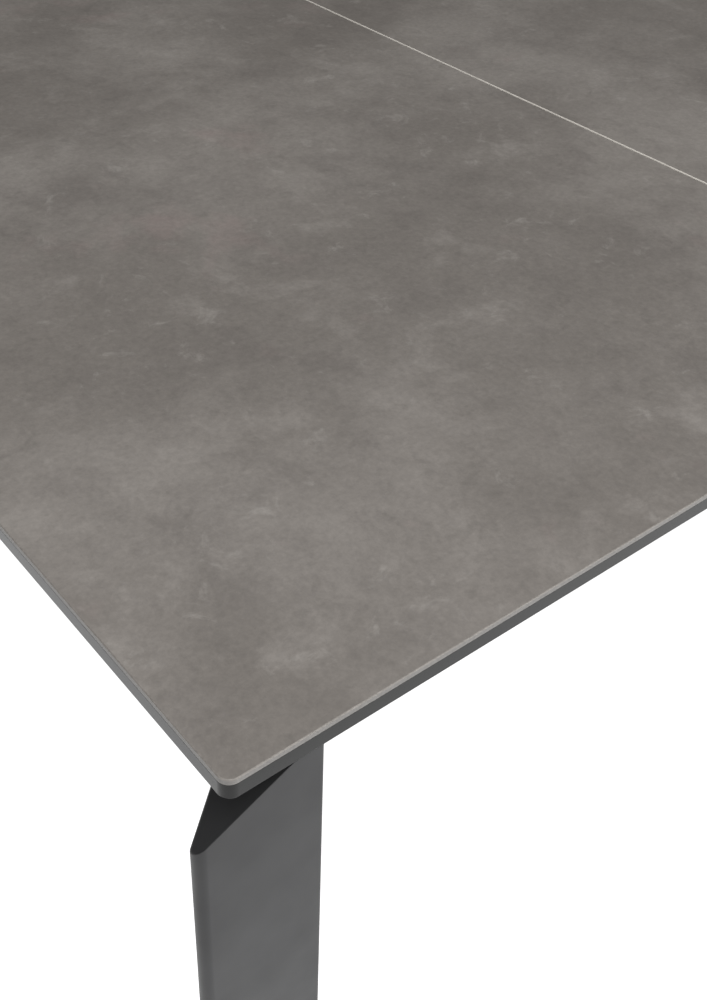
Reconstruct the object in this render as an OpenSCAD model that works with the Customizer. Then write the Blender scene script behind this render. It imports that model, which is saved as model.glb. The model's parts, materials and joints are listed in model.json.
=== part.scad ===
// Extendable dining table.
// Two half tops of ceramic on glass slide apart on a fixed four-legged steel frame.
// A pinion between two racks makes both halves move by the same amount.
// The spare leaf lies in runners under the top and is drawn out at the right-hand end.
// Origin: middle of the table on the floor.  X runs along the table, Z is up.

/* [Top] */
// Length of the closed top
top_len = 1100; // [900:10:1500]
// Width of the top
top_w = 850; // [650:10:1000]
// Height of the top surface above the floor
table_h = 750; // [650:5:800]
// Thickness of the ceramic sheet
ceramic_t = 3; // [3:0.5:8]
// Thickness of the glass under the ceramic
glass_t = 8; // [6:0.5:10]
// Radius of the four outer corners of the top
corner_r = 6; // [3:1:20]
// Gap between the two closed halves
joint_gap = 1; // [0.6:0.1:2]
// How far each half slides outwards
travel = 225; // [150:5:225]

/* [Legs] */
// Width of the flat face of a leg
leg_w = 61; // [50:1:80]
// Angle of the oblique back face of a leg, from the long side
oblique_angle = 41; // [36:1:45]
// Radius of the rounded outer nose of a leg
nose_r = 4.5; // [4:0.5:8]
// How far the nose stands out past the short end of the top
nose_out = 13; // [5:1:20]
// Setback of the flat face from the long edge of the top
face_inset = 1; // [0.5:0.5:5]
// Wall of the leg tube
leg_wall = 3; // [2:0.5:4]
// Steepness of the oblique cut at the leg's upper end
cut_tilt = 35; // [25:1:45]
// Length of the uncut upper end, along the flat face
flat_len = 15; // [10:1:25]
// Height of the glide under each leg
foot_h = 8; // [5:1:15]

/* [Frame] */
// Setback of the side rails from the long edges
side_inset = 40; // [36:1:80]
// Thickness of the side rails
side_rail_t = 25; // [20:1:35]
// Height of the side rails
side_rail_h = 56; // [50:1:70]
// Setback of the end rails from the short ends
end_inset = 60; // [50:1:90]
// Width of the end rails
end_rail_w = 40; // [30:1:60]
// Height of the end rails
end_rail_h = 20; // [15:1:22]
// Wall of the rail tubes
rail_wall = 2; // [1.5:0.5:3]
// Length of the stub that joins a leg to its side rail
stub_len = 70; // [60:5:100]

/* [Slides] */
// Width of the guide channels
channel_w = 26; // [24:1:32]
// Height of the guide channels
channel_h = 28; // [28:1:32]
// Wall of the guide channels
channel_wall = 2; // [1.5:0.5:3]
// Width and height of the sliding bars
slider_w = 18; // [16:1:20]
// Clearance around every sliding shoe
slide_gap = 0.3; // [0.2:0.1:0.5]
// Length of the nylon shoes
shoe_len = 40; // [30:5:60]

/* [Drive] */
// Module of the rack and pinion teeth
tooth_module = 1.5; // [1:0.25:2]
// Number of pinion teeth, an even number
pinion_teeth = 18; // [18:2:24]
// Backlash between the pinion and each rack
backlash = 0.3; // [0.2:0.05:0.5]
// Radius of the pinion's axle
axle_r = 4; // [3:0.5:5]
// Radial clearance of the pinion on its axle
axle_clear = 0.05; // [0.02:0.01:0.1]

/* [Hidden] */

// Heights of the parts that hang under the top
top_under = table_h - ceramic_t - glass_t;
leg_gap = 1;
leg_top = top_under - leg_gap;
leg_len = leg_top - foot_h;
pad_t = 3;
pad_z = top_under - pad_t;
drive_t = 10.5;
drive_gap = 1.5;
drive_z = pad_z - drive_t - drive_gap;
bridge_t = 3;
bridge_gap = 1;
bridge_z = drive_z - bridge_gap - bridge_t;

// Heights of the frame: the side rails clear the top, and the stored leaf clears the bridge
rail_gap = 2;
leaf_clear = 3;
runner_t = 3;
felt_t = 1;
leaf_stack = runner_t + felt_t + glass_t + ceramic_t + leaf_clear;
side_rail_z = min(top_under - rail_gap - side_rail_h, bridge_z - leaf_stack - end_rail_h);
end_rail_top = side_rail_z + end_rail_h;
channel_lift = 4;
channel_z = end_rail_top + channel_lift;
channel_top = channel_z + channel_h;

// Places of the frame members
leg_inner_x = top_len / 2 + nose_out - leg_w;
leg_face_y = top_w / 2 - face_inset;
rail_outer_y = top_w / 2 - side_inset;
rail_inner_y = rail_outer_y - side_rail_t;
end_rail_x = top_len / 2 - end_inset - end_rail_w;
slide_mid_y = rail_inner_y - channel_w / 2;
channel_half = top_len / 2 - end_inset;
channel_inner_y = rail_inner_y - channel_w;

// Section of a leg, in a corner frame: u runs inwards from the nose, v from the flat face
nose_u = nose_r / tan(oblique_angle / 2);
tip_u = nose_r - nose_u;
heel_angle = 90 - oblique_angle;
heel_r = 4;
face_r = 1.5;
fit_gap = 0.2;
stub_clear = 0.3;
stub_wall = 3;

// Slides
slider_in = 20;
slider_out = leg_inner_x - 3;
slider_z = channel_z + (channel_h - slider_w) / 2;
slider_wall = 3;
neck_w = 8;
slot_w = 12;
stop_len = 12;
shoe_clear = 0.1;
stop_x = slider_in + shoe_len + travel + joint_gap;
pad_len = 60;
pad_w = 24;
pad_x = [60, 180, 300, 420];

// Drive
pinion_r = tooth_module * pinion_teeth / 2;
pressure_angle = 20;
addendum = 0.9 * tooth_module;
dedendum = 1.25 * tooth_module;
tooth_pitch = PI * tooth_module;
bridge_half = 30;
rack_bar_w = 7;
rack_in_y = pinion_r + dedendum;
rack_out_y = rack_in_y + rack_bar_w;
rack_reach = travel + 3 * tooth_pitch;
rack_foot_x = 195;
rack_foot_len = 60;
rack_foot_w = 24;
axle_top = pad_z - 1;
axle_neck_r = axle_r - 0.5;
axle_head_r = axle_r + 3;
clip_z = drive_z + drive_t + 0.5;
clip_t = 1;

// Spare leaf in its runners
leaf_w = 2 * travel - joint_gap;
runner_z = end_rail_top;
leaf_z = runner_z + runner_t + felt_t;
runner_lip_y = leaf_w / 2 + 2;
runner_flange = 20;
runner_lip_h = 14;
tab_t = 4;
tab_gap = 1;
runner_half = max(channel_half, top_w / 2 + tab_gap + tab_t);

// Joint hardware
tongue_t = 3;
tongue_x = [-25, 55];
tongue_y = [110, -75];
centring_y = 150;
centring_r = 3;
latch_y = -215;
latch_pivot_x = -38;
latch_post_x = 24;
latch_arm = latch_post_x - latch_pivot_x;
latch_swing = 35;
latch_z = pad_z - 6;
latch_t = 4;
post_r = 3;

// How far joined shapes of one piece run into each other
weld = 0.5;

fine = 48;
small = 24;

// ---------- helpers ----------

// Points of an arc about c, from angle a0 to angle a1
function arc(c, r, a0, a1, n = 8) =
    [for (i = [0:n]) c + r * [cos(a0 + (a1 - a0) * i / n), sin(a0 + (a1 - a0) * i / n)]];

// Outline of a leg's section, shrunk by inset on every side
function leg_outline(inset, nose, heel, face) =
    let (
        tip = tip_u + inset / tan(oblique_angle / 2),
        side = leg_w - inset,
        depth = (side - tip) * tan(oblique_angle),
        heel_c = [side - heel, inset + depth - heel / tan(heel_angle / 2)]
    )
    concat(
        arc([tip + nose / tan(oblique_angle / 2), inset + nose], nose, 90 + oblique_angle, 270),
        arc([side - face, inset + face], face, -90, 0, 4),
        arc(heel_c, heel, 0, 90 + oblique_angle)
    );

// Everything below the leg's flat top and oblique cut, both lowered by drop
module under_cut(drop) {
    reach = 2 * leg_len;
    intersection() {
        translate([-reach / 2, -reach / 2, -foot_h])
            cube([reach, reach, leg_len + foot_h - drop]);
        translate([leg_w - flat_len, 0, leg_len])
            rotate([0, 0, oblique_angle])
                rotate([-cut_tilt, 0, 0])
                    translate([-reach, -reach, -reach - drop])
                        cube([2 * reach, 2 * reach, reach]);
    }
}

// Moves a piece from the corner frame to one corner of the table
module at_leg(sx, sy) {
    translate([sx * (top_len / 2 + nose_out), sy * leg_face_y, 0])
        mirror([sx > 0 ? 1 : 0, 0, 0])
            mirror([0, sy > 0 ? 1 : 0, 0])
                children();
}

// Mirrors a piece of the rear side to the front side when sy is -1
module at_side(sy) {
    mirror([0, sy < 0 ? 1 : 0, 0]) children();
}

// Screw with a hexagon socket, its head's seat at the origin and its shank along +Z;
// head is the diameter and height of its head
module screw(d, len, head) {
    socket_depth = head[1] * 0.6;
    difference() {
        union() {
            translate([0, 0, -head[1]]) cylinder(h = head[1], d = head[0], $fn = small);
            cylinder(h = len, d = d, $fn = small);
        }
        translate([0, 0, -head[1] - 1]) cylinder(h = socket_depth + 1, d = d * 0.8, $fn = 6);
    }
}

// Rectangular tube along X, centred on y, standing on z
module tube_x(len, w, h, wall) {
    difference() {
        translate([-len / 2, -w / 2, 0]) cube([len, w, h]);
        translate([-len / 2 - 1, -w / 2 + wall, wall])
            cube([len + 2, w - 2 * wall, h - 2 * wall]);
    }
}

// ---------- top ----------

// One half of the top, t thick, on the +X side
module half_plate(t) {
    end_x = top_len / 2;
    linear_extrude(t)
        union() {
            translate([joint_gap / 2, -top_w / 2])
                square([end_x - corner_r - joint_gap / 2, top_w]);
            translate([end_x - corner_r - 1, -top_w / 2 + corner_r])
                square([corner_r + 1, top_w - 2 * corner_r]);
            for (sy = [-1, 1])
                translate([end_x - corner_r, sy * (top_w / 2 - corner_r)])
                    circle(corner_r, $fn = fine);
        }
}

module ceramic_half() {
    color("#7c7772") translate([0, 0, table_h - ceramic_t]) half_plate(ceramic_t);
}

module glass_half() {
    color("#4c4949") translate([0, 0, top_under]) half_plate(glass_t);
}

module leaf_layer(z, t) {
    translate([-top_w / 2, -leaf_w / 2, z]) cube([top_w, leaf_w, t]);
}

module leaf_ceramic() {
    color("#7c7772") leaf_layer(leaf_z + glass_t, ceramic_t);
}

module leaf_glass() {
    color("#4c4949") leaf_layer(leaf_z, glass_t);
}

// ---------- legs ----------

module leg(sx, sy) {
    color("#626264")
        at_leg(sx, sy)
            translate([0, 0, foot_h])
                difference() {
                    intersection() {
                        linear_extrude(leg_len)
                            polygon(leg_outline(0, nose_r, heel_r, face_r));
                        under_cut(0);
                    }
                    translate([0, 0, -1])
                        linear_extrude(leg_len + 2)
                            polygon(leg_outline(leg_wall, nose_r / 2, heel_r / 2, face_r / 2));
                }
}

// Plate that closes the flat and oblique upper end of a leg
module cap(sx, sy) {
    inset = leg_wall + fit_gap / 2;
    color("#5a5a5e")
        at_leg(sx, sy)
            translate([0, 0, foot_h])
                difference() {
                    intersection() {
                        linear_extrude(leg_len)
                            polygon(leg_outline(inset, nose_r / 2, heel_r / 2, face_r / 2));
                        under_cut(0);
                    }
                    under_cut(leg_wall);
                }
}

// Nylon glide: a sole under the tube and a plug inside it
module foot(sx, sy) {
    plug_h = 22;
    sole_inset = 1;
    color("#2b2b2c")
        at_leg(sx, sy)
            union() {
                linear_extrude(foot_h)
                    polygon(leg_outline(sole_inset, nose_r - sole_inset, heel_r - sole_inset, 1));
                translate([0, 0, foot_h - 1])
                    linear_extrude(plug_h + 1)
                        polygon(leg_outline(leg_wall + fit_gap, nose_r / 2, heel_r / 2, 0.5));
            }
}

// ---------- frame ----------

frame_screw_d = 6;
frame_screw_len = 14;
frame_head = [10, 4];
frame_screw_x = [leg_inner_x - stub_len * 0.3, leg_inner_x - stub_len * 0.75];
frame_screw_y = rail_outer_y - side_rail_t / 2;
end_screw_x = end_rail_x + end_rail_w / 2;
end_screw_y = rail_inner_y - 45;
gusset_t = 3;
gusset_leg = 95;

// Vertical holes for the frame screws at one corner
module frame_holes(sx, sy, z0, z1) {
    for (x = frame_screw_x)
        translate([sx * x, sy * frame_screw_y, z0])
            cylinder(h = z1 - z0, d = frame_screw_d + fit_gap, $fn = small);
    translate([sx * end_screw_x, sy * end_screw_y, z0])
        cylinder(h = z1 - z0, d = frame_screw_d + fit_gap, $fn = small);
}

// Stub tubes welded to the inner faces of the legs, inside the ends of the side rails
module leg_stubs() {
    w = side_rail_t - 2 * rail_wall - 2 * stub_clear;
    h = side_rail_h - 2 * rail_wall - 2 * stub_clear;
    color("#3c3c3e")
        for (sx = [-1, 1], sy = [-1, 1])
            difference() {
                translate([
                    sx * (leg_inner_x - stub_len / 2),
                    sy * frame_screw_y,
                    side_rail_z + rail_wall + stub_clear
                ])
                    tube_x(stub_len, w, h, stub_wall);
                frame_holes(sx, sy, side_rail_z, side_rail_z + rail_wall + 6);
            }
}

channel_screw_x = [-400, -200, 0, 200, 400];
channel_screw_z = channel_z - 9;
channel_screw_d = 4;
channel_screw_len = 8;
channel_flange_t = 3;
small_head = [7, 2.5];
channel_flange_half = end_rail_x - 5;
channel_screw_used = [for (x = channel_screw_x) if (abs(x) < channel_flange_half - 10) x];

// Holes along Y for the screws that fix a channel to its side rail
module channel_holes(y0, y1) {
    for (x = channel_screw_used)
        translate([x, y0, channel_screw_z])
            rotate([-90, 0, 0])
                cylinder(h = y1 - y0, d = channel_screw_d + fit_gap, $fn = small);
}

module side_rail(sy) {
    color("#48484b")
        at_side(sy)
            difference() {
                translate([0, frame_screw_y, side_rail_z])
                    tube_x(2 * leg_inner_x, side_rail_t, side_rail_h, rail_wall);
                for (sx = [-1, 1])
                    for (x = frame_screw_x)
                        translate([sx * x, frame_screw_y, side_rail_z - 1])
                            cylinder(h = rail_wall + 2, d = frame_screw_d + fit_gap, $fn = small);
                channel_holes(rail_inner_y - 1, rail_inner_y + rail_wall + 1);
            }
}

runner_screw_d = 4;
runner_screw_y = runner_lip_y - runner_flange / 2 - 3;

module end_rail(sx) {
    color("#48484b")
        difference() {
            translate([sx * end_screw_x, 0, side_rail_z])
                rotate([0, 0, 90])
                    tube_x(2 * rail_inner_y, end_rail_w, end_rail_h, rail_wall);
            for (sy = [-1, 1]) {
                translate([sx * end_screw_x, sy * end_screw_y, side_rail_z - 1])
                    cylinder(h = rail_wall + 2, d = frame_screw_d + fit_gap, $fn = small);
                translate([sx * end_screw_x, sy * runner_screw_y, end_rail_top - rail_wall - 1])
                    cylinder(h = rail_wall + 2, d = runner_screw_d + fit_gap, $fn = small);
            }
        }
}

// Plates under the frame that tie each side rail to its end rail
module corner_gussets() {
    color("#3c3c3e")
        for (sx = [-1, 1], sy = [-1, 1]) {
            x0 = end_rail_x + end_rail_w;
            y0 = rail_outer_y - 2;
            difference() {
                translate([0, 0, side_rail_z - gusset_t])
                    linear_extrude(gusset_t)
                        polygon([
                            [sx * x0, sy * y0],
                            [sx * (x0 - gusset_leg), sy * y0],
                            [sx * (x0 - gusset_leg), sy * (y0 - side_rail_t)],
                            [sx * (x0 - 35), sy * (y0 - gusset_leg)],
                            [sx * x0, sy * (y0 - gusset_leg)]
                        ]);
                frame_holes(sx, sy, side_rail_z - gusset_t - 1, side_rail_z + 1);
            }
        }
}

module frame_screws() {
    color("#b9bcc0")
        for (sx = [-1, 1], sy = [-1, 1]) {
            for (x = frame_screw_x)
                translate([sx * x, sy * frame_screw_y, side_rail_z - gusset_t])
                    screw(frame_screw_d, frame_screw_len, frame_head);
            translate([sx * end_screw_x, sy * end_screw_y, side_rail_z - gusset_t])
                screw(frame_screw_d, frame_screw_len, frame_head);
        }
}

// ---------- slides ----------

// Aluminium channel with a slot along its top and a fixing flange below
module guide_channel(sy) {
    floor_y = slide_mid_y - channel_w / 2;
    inner_w = channel_w - 2 * channel_wall;
    inner_h = channel_h - 2 * channel_wall;
    flange_y = rail_inner_y - channel_flange_t;
    flange_z = side_rail_z + 5;
    color("#a9acb0")
        at_side(sy)
            difference() {
                union() {
                    translate([-channel_half, floor_y, channel_z])
                        cube([2 * channel_half, channel_w, channel_h]);
                    translate([-channel_flange_half, flange_y, flange_z])
                        cube([2 * channel_flange_half, channel_flange_t, channel_z - flange_z + 1]);
                }
                translate([-channel_half - 1, floor_y + channel_wall, channel_z + channel_wall])
                    cube([2 * channel_half + 2, inner_w, inner_h]);
                translate([-channel_half - 1, slide_mid_y - slot_w / 2, channel_top - channel_wall - 1])
                    cube([2 * channel_half + 2, slot_w, channel_wall + 2]);
                channel_holes(flange_y - 1, rail_inner_y + 1);
                bridge_holes(floor_y - 1, floor_y + channel_wall + 1);
            }
}

module channel_screws() {
    color("#b9bcc0")
        for (sy = [-1, 1])
            at_side(sy)
                for (x = channel_screw_used)
                    translate([x, rail_inner_y - channel_flange_t, channel_screw_z])
                        rotate([-90, 0, 0])
                            screw(channel_screw_d, channel_screw_len, small_head);
}

// Block of nylon around a sliding bar, hugging the bar or filling the channel
module shoe(x0, bore_gap, outer_gap) {
    bore = slider_w + 2 * bore_gap;
    w = channel_w - 2 * channel_wall - 2 * outer_gap;
    h = channel_h - 2 * channel_wall - 2 * outer_gap;
    neck = neck_w + 2 * bore_gap;
    translate([x0, slide_mid_y, channel_z + channel_h / 2])
        difference() {
            translate([0, -w / 2, -h / 2]) cube([shoe_len, w, h]);
            translate([-1, -bore / 2, -bore / 2]) cube([shoe_len + 2, bore, bore]);
            translate([-1, -neck / 2, 0]) cube([shoe_len + 2, neck, h]);
        }
}

// Fixed shoes in the mouths of the channels
module mouth_shoes() {
    color("#e8e6df")
        for (sx = [0, 1], sy = [-1, 1])
            mirror([sx, 0, 0])
                at_side(sy)
                    shoe(channel_half - shoe_len, slide_gap, 0);
}

// Rubber stops on the channel floors
module travel_stops() {
    h = (channel_h - slider_w) / 2 - channel_wall - slide_gap;
    color("#2b2b2c")
        for (sx = [0, 1], sy = [-1, 1])
            mirror([sx, 0, 0])
                at_side(sy)
                    translate([stop_x, slide_mid_y - slider_w / 2, channel_z + channel_wall])
                        cube([stop_len, slider_w, h]);
}

pad_screw_d = 5;
pad_head = [9, 3];
pad_head_hole = 10;
pad_hole_depth = 2;

// Sliding bars of the right half: square tubes with a rib that reaches the pads
module sliders_half() {
    color("#8d9095")
        for (sy = [-1, 1])
            at_side(sy)
                difference() {
                    union() {
                        translate([slider_in, slide_mid_y - slider_w / 2, slider_z])
                            cube([slider_out - slider_in, slider_w, slider_w]);
                        translate([slider_in, slide_mid_y - neck_w / 2, slider_z + slider_w - 1])
                            cube([slider_out - slider_in, neck_w, pad_z - slider_z - slider_w + 1]);
                    }
                    translate([
                        slider_in - 1,
                        slide_mid_y - slider_w / 2 + slider_wall,
                        slider_z + slider_wall
                    ])
                        cube([
                            slider_out - slider_in + 2,
                            slider_w - 2 * slider_wall,
                            slider_w - 2 * slider_wall
                        ]);
                    for (x = pad_x)
                        translate([x, slide_mid_y, slider_z + slider_wall + 1])
                            cylinder(h = 2 * slider_w, d = pad_screw_d + fit_gap, $fn = small);
                    for (x = pad_x)
                        translate([x, slide_mid_y, slider_z - 1])
                            cylinder(h = slider_wall + 2, d = pad_head_hole, $fn = small);
                }
}

module shoes_half() {
    color("#e8e6df")
        for (sy = [-1, 1])
            at_side(sy)
                shoe(slider_in, shoe_clear, slide_gap);
}

rack_screw_in = 14;
rack_screw_x = [rack_foot_x + rack_screw_in, rack_foot_x + rack_foot_len - rack_screw_in];
rack_screw_y = rack_in_y + rack_foot_w / 2 + 2;
rack_screw_d = 4;
rack_pad_edge = [5, 4];

// Steel pads bonded under the glass of the right half
module pads_half() {
    color("#6f7276") {
        for (sy = [-1, 1], x = pad_x)
            difference() {
                translate([x - pad_len / 2, sy * slide_mid_y - pad_w / 2, pad_z])
                    cube([pad_len, pad_w, pad_t]);
                translate([x, sy * slide_mid_y, pad_z - 1])
                    cylinder(h = pad_hole_depth + 1, d = pad_screw_d + fit_gap, $fn = small);
            }
        difference() {
            translate([rack_foot_x - rack_pad_edge[0], rack_in_y - rack_pad_edge[1], pad_z])
                cube([
                    rack_foot_len + 2 * rack_pad_edge[0],
                    rack_foot_w + 2 * rack_pad_edge[1],
                    pad_t
                ]);
            for (x = rack_screw_x)
                translate([x, rack_screw_y, pad_z - 1])
                    cylinder(h = pad_hole_depth + 1, d = rack_screw_d + fit_gap, $fn = small);
        }
    }
}

module pad_screws_half() {
    seat_z = slider_z + slider_w - slider_wall;
    color("#b9bcc0") {
        for (sy = [-1, 1], x = pad_x)
            translate([x, sy * slide_mid_y, seat_z])
                screw(pad_screw_d, pad_z + pad_hole_depth - seat_z, pad_head);
        for (x = rack_screw_x)
            translate([x, rack_screw_y, drive_z])
                screw(rack_screw_d, pad_z + pad_hole_depth - drive_z, small_head);
    }
}

// ---------- drive ----------

function inv(a) = tan(a) * 180 / PI - a;

// Half the angle that a pinion tooth fills at radius r
function tooth_half(r) =
    let (base = pinion_r * cos(pressure_angle))
    90 / pinion_teeth - backlash / 4 / pinion_r * 180 / PI
        + inv(pressure_angle) - (r > base ? inv(acos(base / r)) : 0);

module pinion() {
    base = pinion_r * cos(pressure_angle);
    root = pinion_r - dedendum;
    tip = pinion_r + addendum;
    steps = 4;
    radii = concat([root], [for (i = [0:steps]) base + (tip - base) * i / steps]);
    outline = [
        for (k = [0:pinion_teeth - 1])
            let (mid = 90 + k * 360 / pinion_teeth)
            each concat(
                [for (r = radii) r * [cos(mid - tooth_half(r)), sin(mid - tooth_half(r))]],
                [for (i = [len(radii) - 1:-1:0])
                    radii[i] * [cos(mid + tooth_half(radii[i])), sin(mid + tooth_half(radii[i]))]]
            )
    ];
    color("#d9d6cc")
        translate([0, 0, drive_z])
            difference() {
                linear_extrude(drive_t) polygon(outline);
                translate([0, 0, -1])
                    cylinder(h = drive_t + 2, r = axle_r + axle_clear, $fn = fine);
            }
}

// Rack of the right half: teeth face the pinion, a foot carries the fixing screws
module rack_half() {
    slope = tan(pressure_angle);
    half_tooth = tooth_pitch / 4 - backlash / 4;
    first = -floor(rack_reach / tooth_pitch);
    color("#d9d6cc")
        translate([0, 0, drive_z])
            difference() {
                linear_extrude(drive_t)
                    union() {
                        translate([(first - 0.5) * tooth_pitch, rack_in_y])
                            square([
                                rack_foot_x + rack_foot_len - (first - 0.5) * tooth_pitch,
                                rack_bar_w
                            ]);
                        translate([rack_foot_x, rack_in_y])
                            square([rack_foot_len, rack_foot_w]);
                        for (i = [first:2])
                            translate([(i + 0.5) * tooth_pitch, 0])
                                polygon([
                                    [-half_tooth - dedendum * slope, rack_in_y + weld],
                                    [-half_tooth - dedendum * slope, rack_in_y],
                                    [-half_tooth + addendum * slope, pinion_r - addendum],
                                    [half_tooth - addendum * slope, pinion_r - addendum],
                                    [half_tooth + dedendum * slope, rack_in_y],
                                    [half_tooth + dedendum * slope, rack_in_y + weld]
                                ]);
                    }
                for (x = rack_screw_x)
                    translate([x, rack_screw_y, -1])
                        cylinder(h = drive_t + 2, d = rack_screw_d + fit_gap, $fn = small);
            }
    color("#d9d6cc")
        difference() {
            translate([rack_foot_x, rack_in_y, drive_z + drive_t - 1])
                cube([rack_foot_len, rack_foot_w, pad_z - drive_z - drive_t + 1]);
            for (x = rack_screw_x)
                translate([x, rack_screw_y, drive_z])
                    cylinder(h = drive_t + pad_t, d = rack_screw_d + fit_gap, $fn = small);
        }
}

bridge_screw_x = [-15, 15];
bridge_screw_z = channel_z + 8;
bridge_screw_d = 4;
bridge_flange_t = 3;

// Holes along Y through the bridge's flanges and the channel's inner wall
module bridge_holes(y0, y1) {
    for (x = bridge_screw_x)
        translate([x, y0, bridge_screw_z])
            rotate([-90, 0, 0])
                cylinder(h = y1 - y0, d = bridge_screw_d + fit_gap, $fn = small);
}

// Cross plate that carries the pinion, with hangers under the leaf runners
module sync_bridge() {
    flange_y = channel_inner_y - bridge_flange_t;
    hanger_y = runner_lip_y - runner_flange;
    hanger_z = runner_z - bridge_t;
    color("#48484b")
        difference() {
            union() {
                translate([-bridge_half, -channel_inner_y, bridge_z])
                    cube([2 * bridge_half, 2 * channel_inner_y, bridge_t]);
                for (sy = [-1, 1])
                    at_side(sy) {
                        translate([-bridge_half, flange_y, hanger_z])
                            cube([2 * bridge_half, bridge_flange_t, bridge_z - hanger_z + 1]);
                        translate([-bridge_half, hanger_y, hanger_z])
                            cube([2 * bridge_half, channel_inner_y - hanger_y, bridge_t]);
                    }
            }
            for (sy = [-1, 1])
                at_side(sy)
                    bridge_holes(flange_y - 1, channel_inner_y + 1);
            translate([0, 0, bridge_z - 1])
                cylinder(h = bridge_t + 2, r = axle_r + fit_gap / 4, $fn = fine);
        }
}

module bridge_screws() {
    color("#b9bcc0")
        for (sy = [-1, 1])
            at_side(sy)
                for (x = bridge_screw_x)
                    translate([x, channel_inner_y - bridge_flange_t, bridge_screw_z])
                        rotate([-90, 0, 0])
                            screw(bridge_screw_d, bridge_flange_t + channel_wall, small_head);
}

// Nylon blocks that hold the racks against the pinion
module rack_guides() {
    guide_half = 25;
    guide_w = 8;
    color("#e8e6df")
        for (sy = [-1, 1])
            at_side(sy)
                translate([-guide_half, rack_out_y + slide_gap, bridge_z + bridge_t])
                    cube([2 * guide_half, guide_w, drive_z + drive_t - bridge_z - bridge_t]);
}

module pinion_axle() {
    head_t = leaf_clear / 2;
    color("#b9bcc0")
        union() {
            translate([0, 0, bridge_z - head_t])
                cylinder(h = head_t, r = axle_head_r, $fn = fine);
            translate([0, 0, bridge_z - weld])
                cylinder(h = clip_z - bridge_z + weld, r = axle_r, $fn = fine);
            translate([0, 0, clip_z - weld])
                cylinder(h = axle_top - clip_z + weld, r = axle_neck_r, $fn = fine);
        }
}

module pinion_clip() {
    color("#3c3c3e")
        translate([0, 0, clip_z])
            difference() {
                cylinder(h = clip_t, r = axle_head_r, $fn = fine);
                translate([0, 0, -1])
                    cylinder(h = clip_t + 2, r = axle_neck_r + fit_gap / 4, $fn = fine);
            }
}

// ---------- leaf store ----------

// Angle along X on the end rails, with a tab that stops the leaf at the left
module leaf_runner(sy) {
    color("#48484b")
        at_side(sy)
            difference() {
                union() {
                    translate([-runner_half, runner_lip_y - runner_flange, runner_z])
                        cube([2 * runner_half, runner_flange, runner_t]);
                    translate([-runner_half, runner_lip_y - weld, runner_z])
                        cube([2 * runner_half, runner_t, runner_lip_h]);
                    translate([
                        -top_w / 2 - tab_gap - tab_t,
                        runner_lip_y - runner_flange,
                        runner_z + runner_t - weld
                    ])
                        cube([tab_t, runner_flange, glass_t]);
                }
                for (sx = [-1, 1])
                    translate([sx * end_screw_x, runner_screw_y, runner_z - 1])
                        cylinder(h = runner_t + 2, d = runner_screw_d + fit_gap, $fn = small);
            }
}

// Countersunk screws, flush under the leaf
module runner_screws() {
    head_r = 3.2;
    head_t = 0.8;
    shank = 10;
    socket_r = 1.2;
    color("#b9bcc0")
        for (sx = [-1, 1], sy = [-1, 1])
            translate([sx * end_screw_x, sy * runner_screw_y, runner_z + runner_t])
                mirror([0, 0, 1])
                    difference() {
                        union() {
                            cylinder(h = shank, d = runner_screw_d, $fn = small);
                            translate([0, 0, -head_t])
                                cylinder(h = head_t, r = head_r, $fn = small);
                        }
                        translate([0, 0, -1]) cylinder(h = 1, r = socket_r, $fn = 6);
                    }
}

// Felt strips under the leaf, from the tabs to the right-hand end rail
module leaf_felts() {
    felt_w = 5;
    felt_in = 4;
    color("#3a3a3a")
        for (sy = [-1, 1])
            at_side(sy)
                translate([-top_w / 2, runner_lip_y - felt_w - felt_in, runner_z + runner_t])
                    cube([top_w / 2 + end_rail_x, felt_w, felt_t]);
}

// ---------- joint between the halves ----------

// Steel tongues under the right half that pass under the edge of its neighbour
module tongues_half() {
    drop = 0.6;
    tongue_w = 30;
    seat_x = 5;
    color("#6f7276")
        for (y = tongue_y)
            translate([0, y - tongue_w / 2, top_under - drop - tongue_t])
                union() {
                    translate([tongue_x[0], 0, 0])
                        cube([tongue_x[1] - tongue_x[0], tongue_w, tongue_t]);
                    translate([seat_x, 0, tongue_t - weld])
                        cube([tongue_x[1] - seat_x, tongue_w, drop + weld]);
                }
}

pin_block = 20;
pin_block_h = 13;
pin_block_x = 8;
pin_z = top_under - 8;

// Blocks with round pins on the right half
module centring_pins() {
    pin_out = 24;
    pin_root = 10;
    color("#6f7276")
        for (sy = [-1, 1])
            translate([0, sy * centring_y, 0])
                union() {
                    translate([pin_block_x, -pin_block / 2, top_under - pin_block_h])
                        cube([pin_block, pin_block, pin_block_h]);
                    translate([-pin_out, 0, pin_z])
                        rotate([0, 90, 0])
                            cylinder(h = pin_out + pin_root, r = centring_r, $fn = small);
                }
}

// Matching sockets on the left half
module pin_sockets() {
    color("#2b2b2c")
        for (sy = [-1, 1])
            translate([0, sy * centring_y, 0])
                difference() {
                    translate([-pin_block_x - pin_block, -pin_block / 2, top_under - pin_block_h])
                        cube([pin_block, pin_block, pin_block_h]);
                    translate([-pin_block_x - pin_block - 1, 0, pin_z])
                        rotate([0, 90, 0])
                            cylinder(
                                h = pin_block + 2,
                                r = centring_r + slide_gap,
                                $fn = small
                            );
                }
}

pivot_r = 4;
pivot_head_t = 1.6;
latch_under = 2;
base_plate = [40, 28, pad_t];
keeper_plate = [32, 28, pad_t];

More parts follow.
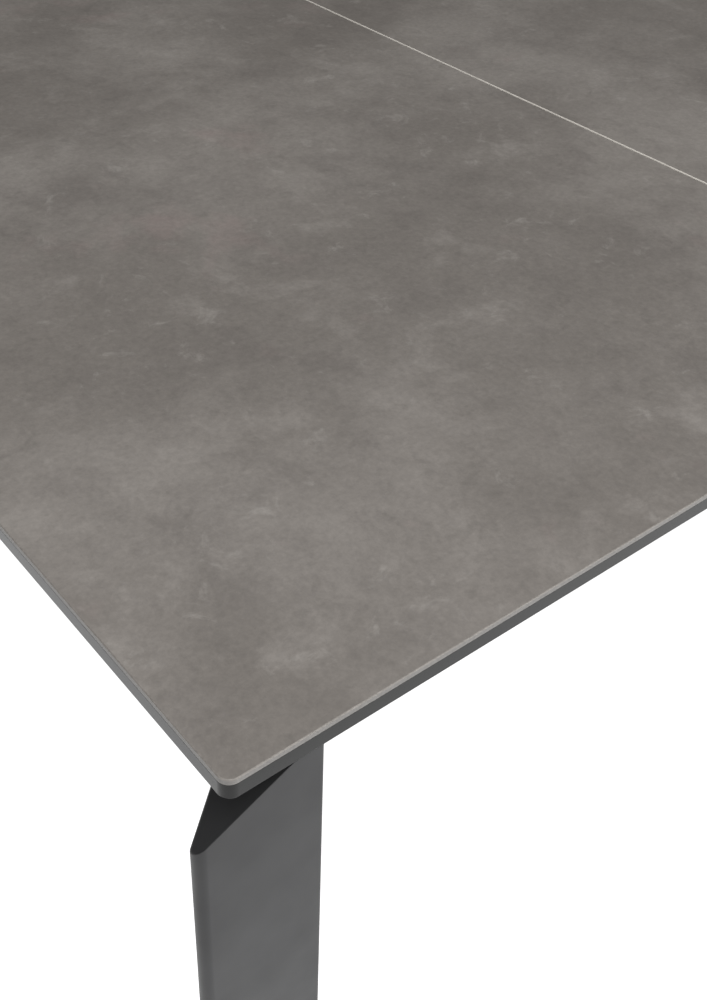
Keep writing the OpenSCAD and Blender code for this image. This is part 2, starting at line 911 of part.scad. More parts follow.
// Plate on the left half with the pivot of the latch
module latch_base() {
    color("#6f7276")
        union() {
            translate([latch_pivot_x - 22, latch_y - base_plate[1] / 2, pad_z])
                cube(base_plate);
            translate([latch_pivot_x, latch_y, latch_z - latch_under + weld])
                cylinder(h = pad_z - latch_z + latch_under, r = pivot_r, $fn = fine);
            translate([latch_pivot_x, latch_y, latch_z - latch_under])
                cylinder(h = pivot_head_t, r = pivot_r + 3, $fn = fine);
        }
}

// Flat hook that swings round its pivot and takes the post in a curved slot
module latch_hook() {
    slot_r = post_r + 0.5;
    slot_reach = 14;
    arm_w = 18;
    grip_len = 34;
    grip_w = 10;
    color("#8d9095")
        translate([latch_pivot_x, latch_y, latch_z])
            rotate([0, 0, latch_swing])
                difference() {
                    linear_extrude(latch_t)
                        union() {
                            circle(arm_w / 2 + 1, $fn = fine);
                            translate([0, -arm_w / 2]) square([latch_arm, arm_w]);
                            translate([latch_arm, 0]) circle(arm_w / 2, $fn = fine);
                            rotate([0, 0, 180])
                                translate([0, -grip_w / 2]) square([grip_len, grip_w]);
                        }
                    translate([0, 0, -1])
                        cylinder(h = latch_t + 2, r = pivot_r + axle_clear, $fn = fine);
                    translate([0, 0, -1])
                        linear_extrude(latch_t + 2)
                            polygon(concat(
                                arc([0, 0], latch_arm + slot_r, -slot_reach, 0, 6),
                                arc([latch_arm, 0], slot_r, 0, 180, 8),
                                arc([0, 0], latch_arm - slot_r, 0, -slot_reach, 6)
                            ));
                }
}

// Plate and post on the right half
module latch_keeper() {
    color("#6f7276")
        union() {
            translate([
                latch_post_x - keeper_plate[0] / 2,
                latch_y - keeper_plate[1] / 2,
                pad_z
            ])
                cube(keeper_plate);
            translate([latch_post_x, latch_y, latch_z - latch_under])
                cylinder(h = pad_z - latch_z + latch_under + weld, r = post_r, $fn = fine);
        }
}

// ---------- the table ----------

module left_half() {
    rotate([0, 0, 180]) children();
}

ceramic_half();  // ceramic_right
glass_half();  // glass_right
left_half() ceramic_half();  // ceramic_left
left_half() glass_half();  // glass_left
leaf_ceramic();
leaf_glass();
leg(-1, -1);  // leg_front_left
leg(1, -1);  // leg_front_right
leg(-1, 1);  // leg_rear_left
leg(1, 1);  // leg_rear_right
cap(-1, -1);  // cap_front_left
cap(1, -1);  // cap_front_right
cap(-1, 1);  // cap_rear_left
cap(1, 1);  // cap_rear_right
foot(-1, -1);  // foot_front_left
foot(1, -1);  // foot_front_right
foot(-1, 1);  // foot_rear_left
foot(1, 1);  // foot_rear_right
leg_stubs();
side_rail(-1);  // side_rail_front
side_rail(1);  // side_rail_rear
end_rail(-1);  // end_rail_left
end_rail(1);  // end_rail_right
corner_gussets();
frame_screws();
guide_channel(-1);  // channel_front
guide_channel(1);  // channel_rear
channel_screws();
mouth_shoes();
travel_stops();
sliders_half();  // sliders_right
left_half() sliders_half();  // sliders_left
shoes_half();  // shoes_right
left_half() shoes_half();  // shoes_left
pads_half();  // pads_right
left_half() pads_half();  // pads_left
pad_screws_half();  // pad_screws_right
left_half() pad_screws_half();  // pad_screws_left
rack_half();  // rack_right
left_half() rack_half();  // rack_left
sync_bridge();
bridge_screws();
rack_guides();
pinion();
pinion_axle();
pinion_clip();
leaf_runner(-1);  // leaf_runner_front
leaf_runner(1);  // leaf_runner_rear
runner_screws();
leaf_felts();
tongues_half();  // tongues_right
left_half() tongues_half();  // tongues_left
centring_pins();
pin_sockets();
latch_base();
latch_hook();
latch_keeper();
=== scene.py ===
"""Visual model of the extendable dining table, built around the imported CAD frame.

Metres, +Z up, origin in the middle of the closed table on the floor.
"""

import json
import math

import bmesh
import bpy
from mathutils import Matrix, Vector


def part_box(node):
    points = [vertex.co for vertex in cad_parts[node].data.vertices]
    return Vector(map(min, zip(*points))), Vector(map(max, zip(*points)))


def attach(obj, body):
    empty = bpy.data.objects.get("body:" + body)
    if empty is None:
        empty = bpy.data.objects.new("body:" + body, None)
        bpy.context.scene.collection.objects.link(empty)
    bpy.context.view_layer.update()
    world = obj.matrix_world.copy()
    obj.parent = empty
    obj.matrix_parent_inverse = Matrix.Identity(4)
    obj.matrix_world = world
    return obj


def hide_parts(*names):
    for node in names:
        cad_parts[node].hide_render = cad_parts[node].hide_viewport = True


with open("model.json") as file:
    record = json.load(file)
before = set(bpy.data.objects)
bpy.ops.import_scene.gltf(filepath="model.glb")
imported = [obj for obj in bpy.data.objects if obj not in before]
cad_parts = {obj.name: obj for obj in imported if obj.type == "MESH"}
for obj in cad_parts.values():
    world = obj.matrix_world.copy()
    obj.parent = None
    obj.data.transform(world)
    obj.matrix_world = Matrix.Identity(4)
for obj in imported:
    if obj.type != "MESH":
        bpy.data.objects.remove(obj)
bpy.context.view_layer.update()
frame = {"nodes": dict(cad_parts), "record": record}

# ---------------------------------------------------------------- driving sizes

MM = 0.001
CORNER_R = 6 * MM          # outer corners of the top
ARRIS = 0.6 * MM           # eased outer edges of the ceramic
JOINT_ARRIS = 0.9 * MM     # eased edges along the joint
GLASS_ARRIS = 0.5 * MM     # eased lower edges of the glass
BOND_EASE = 0.15 * MM      # edges where ceramic and glass meet
LEG_WALL = 3 * MM
NOSE_R = 4.5 * MM          # rounded outer nose of a leg
HEEL_R = 4 * MM
FACE_R = 1.5 * MM
OBLIQUE = math.radians(41)     # a leg's back face, from the long side
CUT_TILT = math.radians(35)    # steepness of the oblique cut
FLAT_LEN = 15 * MM             # uncut upper end, along the flat face
RAIL_R = 2.5 * MM              # rounded edges of the rail tubes
RAIL_WALL = 2 * MM
RAIL_END_EASE = 0.3 * MM       # eased rims of the rails' open ends
HIDDEN_CORNER_R = 1.2 * MM     # corners of the sheets that meet at a joint
SOLE_IN = 1 * MM               # a foot's sole lies this far inside the tube's outline
SOLE_EASE = 1.5 * MM
PLUG_GAP = 0.2 * MM            # between a foot's plug and the tube
TUBE_EASE = 0.6 * MM           # eased lower rim of a leg
TINY = 1e-6

# camera, from the front left corner of the top
CAMERA_OFFSET = (-0.1693, -0.2677, 0.4057)
CAMERA_HEADING = math.radians(-39.95)
CAMERA_PITCH = math.radians(-34.57)
CAMERA_ROLL = math.radians(2.0)
CAMERA_LENS = 47.41
CAMERA_SHIFT_Y = -0.125

# side numbers of a sheet, and the places of its materials
LEFT, RIGHT, FRONT, REAR = range(4)
ON_FACE, ON_EDGE, ON_ARRIS, ON_JOINT = range(4)

TOPS = {"right": 1, "left": -1}
LEGS = {f"{row}_{side}": (sx, sy)
        for row, sy in (("front", -1), ("rear", 1))
        for side, sx in (("left", -1), ("right", 1))}


# ---------------------------------------------------------------- material nodes

class Paint:
    """Builds one material: a Principled shader with procedural colour, roughness and bump."""

    def __init__(self, name, roughness=0.5, metallic=0.0, **sockets):
        self.mat = bpy.data.materials.new(name)
        self.mat.use_nodes = True
        self.tree = self.mat.node_tree
        self.shader = self.tree.nodes["Principled BSDF"]
        self.shader.inputs["Roughness"].default_value = roughness
        self.shader.inputs["Metallic"].default_value = metallic
        for socket, value in sockets.items():
            self.shader.inputs[socket.replace("_", " ")].default_value = value
        self.coords = self.tree.nodes.new("ShaderNodeTexCoord").outputs["Object"]
        self.height = None

    def link(self, out, socket):
        self.tree.links.new(out, socket)

    def stretched(self, scale):
        """Object coordinates scaled by a different factor along each axis."""
        node = self.tree.nodes.new("ShaderNodeMapping")
        node.inputs["Scale"].default_value = scale
        self.link(self.coords, node.inputs["Vector"])
        return node.outputs["Vector"]

    def distance(self):
        """Distance from the object's origin."""
        node = self.tree.nodes.new("ShaderNodeVectorMath")
        node.operation = "LENGTH"
        self.link(self.coords, node.inputs[0])
        return node.outputs["Value"]

    def noise(self, scale, detail=3, rough=0.5, distortion=0.0, vector=None, seed=0.0):
        node = self.tree.nodes.new("ShaderNodeTexNoise")
        node.noise_dimensions = "4D"
        node.inputs["W"].default_value = seed
        node.inputs["Scale"].default_value = scale
        node.inputs["Detail"].default_value = detail
        node.inputs["Roughness"].default_value = rough
        node.inputs["Distortion"].default_value = distortion
        self.link(vector or self.coords, node.inputs["Vector"])
        return node.outputs["Fac"]

    def ramp(self, fac, *stops, smooth=False):
        """Colour ramp; each stop is (position, colour)."""
        node = self.tree.nodes.new("ShaderNodeValToRGB")
        node.color_ramp.interpolation = "EASE" if smooth else "LINEAR"
        elements = node.color_ramp.elements
        while len(elements) < len(stops):
            elements.new(0.5)
        for element, (position, colour) in zip(elements, stops):
            element.position = position
            element.color = (*colour, 1.0)
        self.link(fac, node.inputs["Fac"])
        return node.outputs["Color"]

    def span(self, fac, low, high, start=0.3, end=0.7):
        """Maps start..end of a factor onto low..high."""
        node = self.tree.nodes.new("ShaderNodeMapRange")
        node.inputs["From Min"].default_value = start
        node.inputs["From Max"].default_value = end
        node.inputs["To Min"].default_value = low
        node.inputs["To Max"].default_value = high
        self.link(fac, node.inputs["Value"])
        return node.outputs["Result"]

    def mix(self, a, b, fac, mode="MIX"):
        node = self.tree.nodes.new("ShaderNodeMix")
        node.data_type = "RGBA"
        node.blend_type = mode
        for socket, value in ((node.inputs[0], fac), (node.inputs[6], a), (node.inputs[7], b)):
            if isinstance(value, (int, float)):
                socket.default_value = value
            elif isinstance(value, tuple):
                socket.default_value = (*value, 1.0)
            else:
                self.link(value, socket)
        return node.outputs[2]

    def colour(self, out):
        self.link(out, self.shader.inputs["Base Color"])

    def roughness(self, out):
        self.link(out, self.shader.inputs["Roughness"])

    def bump(self, fac, depth, strength=1.0):
        node = self.tree.nodes.new("ShaderNodeBump")
        node.inputs["Distance"].default_value = depth
        node.inputs["Strength"].default_value = strength
        self.link(fac, node.inputs["Height"])
        if self.height is not None:
            self.link(self.height, node.inputs["Normal"])
        self.height = node.outputs["Normal"]
        self.link(self.height, self.shader.inputs["Normal"])


def srgb(r, g, b):
    """Linear colour from 0-255 display values."""
    return tuple(((c / 255 + 0.055) / 1.055) ** 2.4 if c > 10 else c / 255 / 12.92
                 for c in (r, g, b))


# ---------------------------------------------------------------- materials

def ceramic_face():
    """Matt concrete look: smoke of several sizes, paler scuffs, faint warm patches, fine grain."""
    p = Paint("ceramic_face", roughness=0.6)
    broad = p.noise(5.5, detail=5, rough=0.55, distortion=0.3, seed=1.7)
    tone = p.ramp(broad, (0.36, srgb(113, 108, 103)), (0.64, srgb(129, 124, 119)), smooth=True)
    cloud = p.noise(17, detail=9, rough=0.66, distortion=0.4, seed=4.2)
    tone = p.mix(tone, srgb(100, 95, 91), p.span(cloud, 0.45, 0.0, 0.36, 0.5))
    tone = p.mix(tone, srgb(143, 138, 133), p.span(cloud, 0.0, 0.6, 0.54, 0.7))
    scuff = p.noise(46, detail=8, rough=0.72, distortion=0.7, seed=9.1)
    tone = p.mix(tone, srgb(158, 154, 149), p.span(scuff, 0.0, 0.55, 0.58, 0.76))
    tone = p.mix(tone, srgb(94, 90, 86), p.span(scuff, 0.35, 0.0, 0.3, 0.44))
    warm = p.noise(9, detail=4, rough=0.6, seed=13.4)
    tone = p.mix(tone, srgb(136, 121, 118), p.span(warm, 0.0, 0.5, 0.6, 0.72))
    grain = p.noise(330, detail=4, rough=0.7, seed=2.0)
    tone = p.mix(tone, p.ramp(grain, (0.32, srgb(168, 168, 168)), (0.68, srgb(208, 208, 208))),
                 0.5, "OVERLAY")
    p.colour(tone)
    p.roughness(p.span(scuff, 0.52, 0.66))
    p.bump(p.noise(160, detail=5, rough=0.6, seed=6.0), 0.00012, 0.5)
    p.bump(p.noise(900, detail=2, rough=0.5, seed=8.0), 0.00004, 0.5)
    return p.mat


def ceramic_side():
    """Ground edge of the ceramic: paler than its face, with fine specks."""
    p = Paint("ceramic_side", roughness=0.5)
    speck = p.noise(700, detail=3, rough=0.6)
    p.colour(p.ramp(speck, (0.32, srgb(100, 97, 94)), (0.68, srgb(116, 113, 110))))
    p.bump(speck, 0.00005, 0.4)
    return p.mat


def ceramic_arris_painted_highlight():
    """Eased edge, coloured lighter than the ground side as a painted highlight along the edge."""
    p = Paint("ceramic_arris_painted_highlight", roughness=0.4)
    speck = p.noise(500, detail=2)
    # lighter than the ground side: a painted highlight on the eased edge
    p.colour(p.ramp(speck, (0.3, srgb(114, 110, 105)), (0.7, srgb(131, 126, 121))))
    p.bump(speck, 0.00003, 0.3)
    return p.mat


def ceramic_joint_painted_highlight():
    """Edge along the joint, painted palest of all as a highlight where its eased edges catch the
    light.
    """
    p = Paint("ceramic_joint_painted_highlight", roughness=0.35)
    speck = p.noise(500, detail=2)
    # pale colour: a painted highlight along the joint
    p.colour(p.ramp(speck, (0.3, srgb(196, 191, 183)), (0.7, srgb(214, 209, 201))))
    p.bump(speck, 0.00003, 0.3)
    return p.mat


def glass_side():
    """Polished edge of dark back-painted glass, with faint grinding marks along it."""
    p = Paint("glass_side", roughness=0.2, Specular_IOR_Level=0.16)
    marks = p.noise(60, detail=5, rough=0.7, vector=p.stretched((0.25, 0.25, 40)))
    p.colour(p.ramp(marks, (0.3, (0.006, 0.0062, 0.006)), (0.7, (0.010, 0.0103, 0.0098))))
    p.roughness(p.span(marks, 0.14, 0.26))
    p.bump(marks, 0.00002, 0.3)
    return p.mat


def powder_coat(name, dark, light, roughness, grain=1500.0):
    """Powder-coated steel: a fine orange-peel skin with a slight drift of tone."""
    p = Paint(name, roughness=roughness, Specular_IOR_Level=0.22)
    drift = p.noise(9, detail=3, seed=3.0)
    p.colour(p.ramp(drift, (0.3, dark), (0.7, light)))
    p.roughness(p.span(p.noise(40, detail=4, seed=5.0), roughness - 0.04, roughness + 0.05))
    p.bump(p.noise(grain, detail=2, rough=0.45, seed=7.0), 0.00005, 0.45)
    p.bump(p.noise(grain / 6, detail=2, rough=0.4, seed=11.0), 0.00008, 0.25)
    return p.mat


def moulded(name, dark, light, roughness, spark=900.0):
    """Moulded plastic with a fine spark-eroded texture."""
    p = Paint(name, roughness=roughness)
    cloud = p.noise(45, detail=3)
    p.colour(p.ramp(cloud, (0.3, dark), (0.7, light)))
    p.bump(p.noise(spark, detail=2, seed=2.0), 0.00005, 0.4)
    return p.mat


def drawn_metal(name, dark, light, roughness, streak=(2, 90, 90)):
    """Drawn or extruded metal with fine lines along its length."""
    p = Paint(name, roughness=roughness, metallic=1.0)
    lines = p.noise(14, detail=6, rough=0.65, vector=p.stretched(streak))
    p.colour(p.ramp(lines, (0.3, dark), (0.7, light)))
    p.roughness(p.span(lines, roughness - 0.07, roughness + 0.09))
    p.bump(lines, 0.00002, 0.4)
    return p.mat


def zinc_plate():
    """Bright zinc with a mottled passivated tint."""
    p = Paint("zinc_screw", roughness=0.3, metallic=1.0)
    mottle = p.noise(220, detail=4, rough=0.6)
    p.colour(p.ramp(mottle, (0.3, srgb(176, 178, 184)), (0.7, srgb(208, 206, 196))))
    p.roughness(p.span(mottle, 0.24, 0.4))
    p.bump(mottle, 0.00002, 0.3)
    return p.mat


def pressed_felt():
    """Matted wool fibres."""
    p = Paint("felt", roughness=0.95, Sheen_Weight=0.35, Sheen_Roughness=0.5)
    fibre = p.noise(1300, detail=5, rough=0.75, distortion=1.5)
    p.colour(p.ramp(fibre, (0.3, srgb(40, 40, 42)), (0.7, srgb(76, 75, 76))))
    p.bump(fibre, 0.0003, 0.8)
    return p.mat


def floor_paint():
    """White studio floor that glows around the table and dims further out."""
    p = Paint("floor", roughness=0.9)
    shade = p.ramp(p.noise(3), (0.0, (0.90, 0.90, 0.90)), (1.0, (0.94, 0.94, 0.94)))
    p.colour(shade)
    p.link(shade, p.shader.inputs["Emission Color"])
    p.link(p.span(p.distance(), 0.95, 0.5, 1.6, 4.0), p.shader.inputs["Emission Strength"])
    return p.mat


MATERIALS = {
    "ceramic": ceramic_face(),
    "back_glass": glass_side(),
    "leg_coat": powder_coat("leg_coat", srgb(38, 38, 39), srgb(43, 43, 44), 0.44),
    "foot_nylon": moulded("foot_nylon", srgb(28, 28, 29), srgb(38, 38, 39), 0.55),
    "frame_coat": powder_coat("frame_coat", srgb(66, 66, 68), srgb(74, 74, 76), 0.55, 1100.0),
    "channel_aluminium": drawn_metal("channel_aluminium", srgb(176, 178, 181),
                                     srgb(206, 208, 210), 0.36),
    "zinc_screw": zinc_plate(),
    "white_nylon": moulded("white_nylon", srgb(214, 210, 198), srgb(228, 225, 214), 0.45),
    "slide_steel": drawn_metal("slide_steel", srgb(140, 142, 147), srgb(172, 174, 178), 0.3),
    "felt": pressed_felt(),
}
CERAMIC_SIDE = ceramic_side()
CERAMIC_ARRIS_HIGHLIGHT = ceramic_arris_painted_highlight()
CERAMIC_JOINT_HIGHLIGHT = ceramic_joint_painted_highlight()


# ---------------------------------------------------------------- mesh helpers

def arc(cx, cy, r, a0, a1, steps=10):
    """Points of an arc, angles in radians."""
    return [(cx + r * math.cos(a0 + (a1 - a0) * i / steps),
             cy + r * math.sin(a0 + (a1 - a0) * i / steps)) for i in range(steps + 1)]


def round_rect(x0, x1, y0, y1, radii, steps=10):
    """Anticlockwise outline; radii of the corners in the order -x-y, +x-y, +x+y, -x+y."""
    quarter = math.pi / 2
    corners = ((x0, y0, 1, 1), (x1, y0, -1, 1), (x1, y1, -1, -1), (x0, y1, 1, -1))
    points = []
    for i, ((x, y, dx, dy), r) in enumerate(zip(corners, radii)):
        start = math.pi + i * quarter
        points += arc(x + dx * r, y + dy * r, r, start, start + quarter, steps)
    return points


def leg_outline(width, inset):
    """Section of a leg in its corner frame: u inwards from the nose, v from the flat face."""
    nose, heel, face = (max(r - inset, 0.4 * MM) for r in (NOSE_R, HEEL_R, FACE_R))
    tip_shift = NOSE_R / math.tan(OBLIQUE / 2) - NOSE_R
    tip = inset / math.tan(OBLIQUE / 2) - tip_shift
    side = width - inset
    depth = (side - tip) * math.tan(OBLIQUE)
    quarter = math.pi / 2
    heel_y = inset + depth - heel / math.tan((quarter - OBLIQUE) / 2)
    kink = width - FLAT_LEN
    return (arc(tip + nose / math.tan(OBLIQUE / 2), inset + nose, nose,
                quarter + OBLIQUE, 3 * quarter, 16)
            + [(kink + inset / math.tan(OBLIQUE), inset)]
            + arc(side - face, inset + face, face, -quarter, 0, 8)
            + [(side, (side - kink) * math.tan(OBLIQUE))]
            + arc(side - heel, heel_y, heel, 0, quarter + OBLIQUE, 14))


def add_loops(bm, loops, closed):
    """Skins a stack of loops of equal length; closed joins the last loop to the first."""
    rings = [[bm.verts.new(point) for point in loop] for loop in loops]
    pairs = list(zip(rings, rings[1:])) + ([(rings[-1], rings[0])] if closed else [])
    for low, high in pairs:
        for i in range(len(low)):
            j = (i + 1) % len(low)
            bm.faces.new((low[i], low[j], high[j], high[i]))
    return rings


def quarter_turns(steps):
    """Angles from 0 to a quarter turn, in equal steps."""
    return [k / steps * math.pi / 2 for k in range(steps + 1)]


def weigh_normals(piece):
    """Smooth shading that keeps broad faces flat and sharp edges crisp."""
    for polygon in piece.data.polygons:
        polygon.use_smooth = True
    piece.data.set_sharp_from_angle(angle=math.radians(30))
    normals = piece.modifiers.new("normals", "WEIGHTED_NORMAL")
    normals.keep_sharp = True


def finish_mesh(name, bm, materials, matrix=None):
    """Makes an object from a bmesh, with outward normals."""
    if matrix is not None:
        bmesh.ops.transform(bm, matrix=matrix, verts=bm.verts)
    bmesh.ops.recalc_face_normals(bm, faces=bm.faces)
    mesh = bpy.data.meshes.new(name)
    bm.to_mesh(mesh)
    bm.free()
    for material in materials:
        mesh.materials.append(material)
    piece = bpy.data.objects.new(name, mesh)
    bpy.context.scene.collection.objects.link(piece)
    return piece


def ease(piece, width, angle):
    """Chamfers the edges sharper than an angle in degrees and shades the mesh smooth."""
    bevel = piece.modifiers.new("ease", "BEVEL")
    bevel.width = width
    bevel.segments = 1
    bevel.limit_method = "ANGLE"
    bevel.angle_limit = math.radians(angle)
    bevel.harden_normals = True
    for polygon in piece.data.polygons:
        polygon.use_smooth = True


def place(piece, body, node):
    """Rides on a body and stands in for a CAD node, which it hides."""
    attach(piece, body)
    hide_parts(node)


# ---------------------------------------------------------------- the top

def sheet(name, node, body, materials, corners, top_ease, under_ease, joints=()):
    """A sheet with eased edges; the sides named in joints are ground broader and painted paler as
    a highlight.
    """
    lo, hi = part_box(node)
    steps = 4
    outline = round_rect(lo[0], hi[0], lo[1], hi[1], corners)
    sides = []
    for x, y in outline:
        gaps = (x - lo[0], hi[0] - x, y - lo[1], hi[1] - y)
        sides.append(gaps.index(min(gaps)))

    def loop(turn, eases, z, up):
        """Outline at one step of the easing, from the upright side towards the face."""
        inset = [ease_r * (1 - math.cos(turn)) for ease_r in eases]
        radii = [max(r - inset[FRONT], 0.3 * MM) for r in corners]
        points = round_rect(lo[0] + inset[LEFT], hi[0] - inset[RIGHT],
                            lo[1] + inset[FRONT], hi[1] - inset[REAR], radii)
        return [(x, y, z - up * eases[side] * (1 - math.sin(turn)))
                for (x, y), side in zip(points, sides)]

    under_eases = [under_ease] * 4
    top_eases = [JOINT_ARRIS if side in joints else top_ease for side in range(4)]
    loops = [loop(turn, under_eases, lo[2], -1) for turn in quarter_turns(steps)[::-1]]
    loops += [loop(turn, top_eases, hi[2], 1) for turn in quarter_turns(steps)]
    bm = bmesh.new()
    rings = add_loops(bm, loops, False)
    last = len(materials) - 1
    for index, face in enumerate(bm.faces):
        level, at = divmod(index, len(outline))
        on_joint = sides[at] in joints and sides[(at + 1) % len(outline)] in joints
        # ON_ARRIS faces take the material that is painted lighter as a highlight
        kind = ON_EDGE
        # faces along the joint take the material painted pale as a highlight
        if on_joint and level >= steps:
            kind = ON_JOINT
        elif level > steps:
            kind = ON_ARRIS
        face.material_index = min(kind, last)
    bm.faces.new(rings[0][::-1]).material_index = min(ON_EDGE, last)
    bm.faces.new(rings[-1]).material_index = ON_FACE
    piece = finish_mesh(name, bm, materials)
    weigh_normals(piece)
    place(piece, body, node)


def bonded_pair(names, nodes, body, corners, joints):
    """A ceramic sheet bonded on a glass sheet."""
    # the arris and joint materials carry painted highlights
    ceramic = [MATERIALS["ceramic"], CERAMIC_SIDE, CERAMIC_ARRIS_HIGHLIGHT, CERAMIC_JOINT_HIGHLIGHT]
    sheet(names[0], nodes[0], body, ceramic, corners, ARRIS, BOND_EASE, joints)
    sheet(names[1], nodes[1], body, [MATERIALS["back_glass"]], corners,
          BOND_EASE, GLASS_ARRIS)


def top_sheets():
    """Two halves and the spare leaf."""
    for side, sx in TOPS.items():
        right, left = (CORNER_R, HIDDEN_CORNER_R) if sx > 0 else (HIDDEN_CORNER_R, CORNER_R)
        bonded_pair((f"ceramic_sheet_{side}", f"glass_sheet_{side}"),
                    (f"ceramic_{side}", f"glass_{side}"), f"{side}_top",
                    (left, right, right, left), (LEFT,) if sx > 0 else ())
    bonded_pair(("leaf_ceramic_sheet", "leaf_glass_sheet"), ("leaf_ceramic", "leaf_glass"),
                "leaf", (HIDDEN_CORNER_R,) * 4, (FRONT, REAR))


top_sheets()


# ---------------------------------------------------------------- legs

def corner_matrix(lo, hi, sx, sy):
    """Corner frame to row frame for the leg whose box is lo..hi."""
    x = hi[0] if sx > 0 else lo[0]
    y = hi[1] if sy > 0 else lo[1]
    return Matrix.Translation((x, y, 0)) @ Matrix.Diagonal((-sx, -sy, 1, 1))


def behind_kink(u, v, width):
    """How far a point lies past the line where the cut leaves a leg's flat upper end."""
    return math.cos(OBLIQUE) * v - math.sin(OBLIQUE) * (u - (width - FLAT_LEN))


def cut_height(u, v, width, top):
    """Height of a leg's upper end: flat at top, then falling along the oblique cut."""
    return min(top, top - math.tan(CUT_TILT) * behind_kink(u, v, width))


def edge_radius(u, v):
    """Rounding of the cut's rim: crisp along the flat face, softer along the oblique one."""
    lean = min(max(v / (12 * MM), 0.0), 1.0)
    return (0.5 + 0.8 * lean) * MM


def leg(key, sx, sy):
    """Hollow triangular tube with an oblique cut and eased rims."""
    lo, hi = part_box(f"leg_{key}")
    width = hi[0] - lo[0]
    outline = leg_outline(width, 0)
    inner = leg_outline(width, LEG_WALL)
    loops = [[(u, v, lo[2]) for u, v in leg_outline(width, TUBE_EASE)],
             [(u, v, lo[2] + TUBE_EASE) for u, v in outline]]
    for turn in quarter_turns(5):
        loop = []
        for i, (u0, v0) in enumerate(outline):
            r = edge_radius(u0, v0)
            u, v = leg_outline(width, r * (1 - math.cos(turn)))[i]
            loop.append((u, v, cut_height(u, v, width, hi[2]) - r * (1 - math.sin(turn))))
        loops.append(loop)
    loops.append([(u, v, cut_height(u, v, width, hi[2])) for u, v in inner])
    loops.append([(u, v, lo[2]) for u, v in inner])
    bm = bmesh.new()
    add_loops(bm, loops, True)
    piece = finish_mesh(f"leg_tube_{key}", bm, [MATERIALS["leg_coat"]],
                        corner_matrix(lo, hi, sx, sy))
    weigh_normals(piece)
    place(piece, "frame", f"leg_{key}")


def cap(key, sx, sy):
    """Bent plate that closes the upper end, welded in and ground flush."""
    lo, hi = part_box(f"leg_{key}")
    width = hi[0] - lo[0]
    outline = leg_outline(width, LEG_WALL)
    kink = [i for i, (u, v) in enumerate(outline)
            if abs(behind_kink(u, v, width)) < TINY]
    bm = bmesh.new()
    loops = [[(u, v, cut_height(u, v, width, hi[2]) - drop) for u, v in outline]
             for drop in (LEG_WALL, 0)]
    for ring, flip in zip(add_loops(bm, loops, False), (True, False)):
        first, last = kink
        for part in (ring[first:last + 1], ring[last:] + ring[:first + 1]):
            bm.faces.new(part[::-1] if flip else part)
    piece = finish_mesh(f"leg_cap_{key}", bm, [MATERIALS["leg_coat"]],
                        corner_matrix(lo, hi, sx, sy))
    weigh_normals(piece)
    place(piece, "frame", f"cap_{key}")


def foot(key, sx, sy):
    """Nylon glide: a rounded sole with a plug that fills the tube's end."""
    lo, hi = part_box(f"leg_{key}")
    width = hi[0] - lo[0]
    foot_lo, foot_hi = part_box(f"foot_{key}")
    plug = leg_outline(width, LEG_WALL + PLUG_GAP)
    bm = bmesh.new()
    loops = [[(u, v, foot_lo[2] + SOLE_EASE * (1 - math.cos(turn)))
              for u, v in leg_outline(width, SOLE_IN + SOLE_EASE * (1 - math.sin(turn)))]
             for turn in quarter_turns(4)[::-1]]
    loops.append([(u, v, lo[2]) for u, v in leg_outline(width, SOLE_IN)])
    loops.append([(u, v, lo[2]) for u, v in plug])
    loops.append([(u, v, foot_hi[2]) for u, v in plug])
    rings = add_loops(bm, loops, False)
    bm.faces.new(rings[0][::-1])
    bm.faces.new(rings[-1])
    piece = finish_mesh(f"foot_glide_{key}", bm, [MATERIALS["foot_nylon"]],
                        corner_matrix(lo, hi, sx, sy))
    weigh_normals(piece)
    place(piece, "frame", f"foot_{key}")


for key, (sx, sy) in LEGS.items():
    leg(key, sx, sy)
    cap(key, sx, sy)
    foot(key, sx, sy)


# ---------------------------------------------------------------- rails

def tube(name, node, axis):
    """Rectangular steel tube with rounded edges, along X (0) or Y (1)."""
    lo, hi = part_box(node)
    across = 1 - axis
    mid = (lo[axis] + hi[axis]) / 2
    half = (hi[axis] - lo[axis]) / 2
    w0, w1, z0, z1 = lo[across], hi[across], lo[2], hi[2]
    outer = round_rect(w0, w1, z0, z1, [RAIL_R] * 4, 6)
    inner = round_rect(w0 + RAIL_WALL, w1 - RAIL_WALL, z0 + RAIL_WALL, z1 - RAIL_WALL,
                       [RAIL_R - 1 * MM] * 4, 6)
    bm = bmesh.new()
    add_loops(bm, [[(w, z, end) for w, z in loop] for loop, end in
                   ((outer, -half), (outer, half), (inner, half), (inner, -half))], True)
    for vert in bm.verts:
        w, z, along = vert.co
        vert.co = (mid + along, w, z) if axis == 0 else (w, mid + along, z)
    piece = finish_mesh(name, bm, [MATERIALS["frame_coat"]])
    ease(piece, RAIL_END_EASE, 50)
    place(piece, "frame", node)


for row in ("front", "rear"):
    tube(f"side_tube_{row}", f"side_rail_{row}", 0)
for side in TOPS:
    tube(f"end_tube_{side}", f"end_rail_{side}", 1)


# ---------------------------------------------------------------- CAD nodes that stay

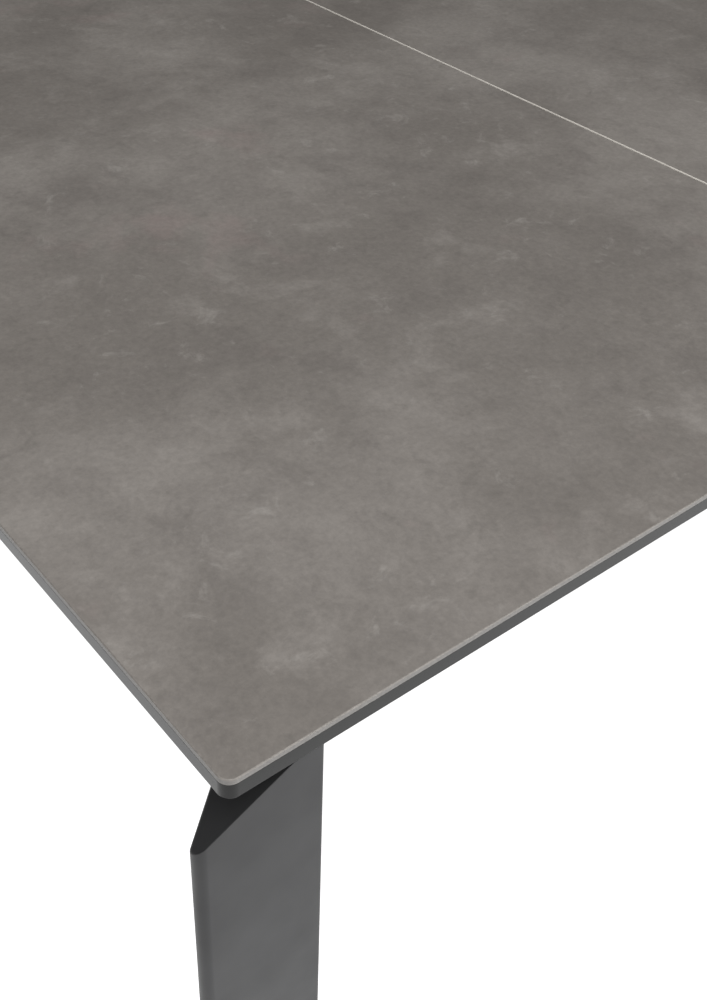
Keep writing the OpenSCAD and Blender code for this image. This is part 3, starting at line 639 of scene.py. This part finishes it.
for part in frame["record"]["subparts"]:
    node = frame["nodes"][part["node"]]
    if not node.hide_render:
        for slot_index in range(len(node.data.materials)):
            node.data.materials[slot_index] = MATERIALS[part["material_slot"]]


# ---------------------------------------------------------------- studio

def floor():
    """Wide pale floor."""
    half = 14.0
    bm = bmesh.new()
    bm.faces.new([bm.verts.new((x * half, y * half, 0))
                  for x, y in ((-1, -1), (1, -1), (1, 1), (-1, 1))])
    plane = finish_mesh("studio_floor", bm, [floor_paint()])


def soft_light(name, place_at, aim_at, size, power):
    """Square area light."""
    light = bpy.data.lights.new(name, "AREA")
    light.shape = "SQUARE"
    light.size = size
    light.energy = power
    holder = bpy.data.objects.new(name, light)
    holder.location = place_at
    holder.rotation_euler = (Vector(aim_at) - Vector(place_at)).to_track_quat("-Z", "Y").to_euler()
    bpy.context.scene.collection.objects.link(holder)


def studio():
    """Dim even surroundings and two large soft lights."""
    scene = bpy.context.scene
    scene.view_settings.view_transform = "Standard"
    world = bpy.data.worlds.new("studio")
    world.use_nodes = True
    background = world.node_tree.nodes["Background"]
    background.inputs["Color"].default_value = (1.0, 1.0, 1.0, 1.0)
    background.inputs["Strength"].default_value = 0.1
    scene.world = world
    floor()
    soft_light("overhead", (-0.7, -1.1, 2.6), (-0.2, -0.2, 0.75), 2.4, 62)
    soft_light("front", (1.0, -2.6, 1.3), (-0.5, -0.4, 0.5), 1.4, 32)


def camera():
    """Looks down on the front left corner of the top."""
    lens = bpy.data.cameras.new("camera")
    lens.sensor_width = 36
    lens.lens = CAMERA_LENS
    lens.shift_y = CAMERA_SHIFT_Y
    lens.clip_start = 0.02
    lens.clip_end = 100
    holder = bpy.data.objects.new("camera", lens)
    turn = (Matrix.Rotation(CAMERA_HEADING, 4, "Z")
            @ Matrix.Rotation(math.pi / 2 + CAMERA_PITCH, 4, "X")
            @ Matrix.Rotation(CAMERA_ROLL, 4, "Z"))
    corner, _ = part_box("ceramic_left")
    place_at = Vector(corner) + Vector(CAMERA_OFFSET)
    holder.matrix_world = Matrix.Translation(place_at) @ turn
    bpy.context.scene.collection.objects.link(holder)
    bpy.context.scene.camera = holder


studio()
camera()
